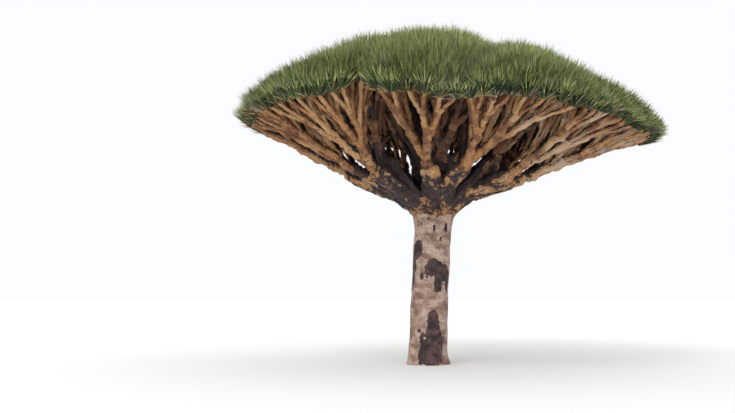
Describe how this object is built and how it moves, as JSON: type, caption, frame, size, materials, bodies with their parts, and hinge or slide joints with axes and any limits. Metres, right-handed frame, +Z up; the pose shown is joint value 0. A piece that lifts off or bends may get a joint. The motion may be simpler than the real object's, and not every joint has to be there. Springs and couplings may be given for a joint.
{
  "type": "dragon blood tree",
  "caption": "Umbrella-shaped tree: stout leaning trunk, limbs fanning from its head, and a dense domed crown of sword-leaf rosettes on forking boughs.",
  "frame": {"origin": "centre of the flat cut under the trunk, at ground level", "axes": "+Z up; +X towards the side the trunk leans to and the crown reaches furthest; -Y is the side seen in the picture"},
  "size_m": [7.9125, 7.6965, 6.1616],
  "materials": {
    "trunk_bark": "pale pinkish-grey bark with faint ring scars and dark weathered wounds",
    "limb_bark": "knobbly orange-brown bark, nearly black near the head",
    "foliage": "stiff narrow leaves, mid green with yellow-green tips"
  },
  "bodies": {
    "root": {"trunk": "trunk_bark", "limb_1": "limb_bark", "limb_2": "limb_bark", "limb_3": "limb_bark", "limb_4": "limb_bark", "limb_5": "limb_bark", "limb_6": "limb_bark", "limb_centre": "limb_bark", "bough_top_01": "limb_bark", "crown_top_01": "foliage", "bough_top_02": "limb_bark", "crown_top_02": "foliage", "bough_top_03": "limb_bark", "crown_top_03": "foliage", "bough_mid_01": "limb_bark", "crown_mid_01": "foliage", "bough_mid_02": "limb_bark", "crown_mid_02": "foliage", "bough_mid_03": "limb_bark", "crown_mid_03": "foliage", "bough_mid_04": "limb_bark", "crown_mid_04": "foliage", "bough_mid_05": "limb_bark", "crown_mid_05": "foliage", "bough_mid_06": "limb_bark", "crown_mid_06": "foliage", "bough_rim_01": "limb_bark", "crown_rim_01": "foliage", "bough_rim_02": "limb_bark", "crown_rim_02": "foliage", "bough_rim_03": "limb_bark", "crown_rim_03": "foliage", "bough_rim_04": "limb_bark", "crown_rim_04": "foliage", "bough_rim_05": "limb_bark", "crown_rim_05": "foliage", "bough_rim_06": "limb_bark", "crown_rim_06": "foliage", "bough_rim_07": "limb_bark", "crown_rim_07": "foliage", "bough_rim_08": "limb_bark", "crown_rim_08": "foliage", "bough_rim_09": "limb_bark", "crown_rim_09": "foliage", "bough_rim_10": "limb_bark", "crown_rim_10": "foliage", "bough_rim_11": "limb_bark", "crown_rim_11": "foliage", "bough_rim_12": "limb_bark", "crown_rim_12": "foliage"}
  },
  "joints": []
}
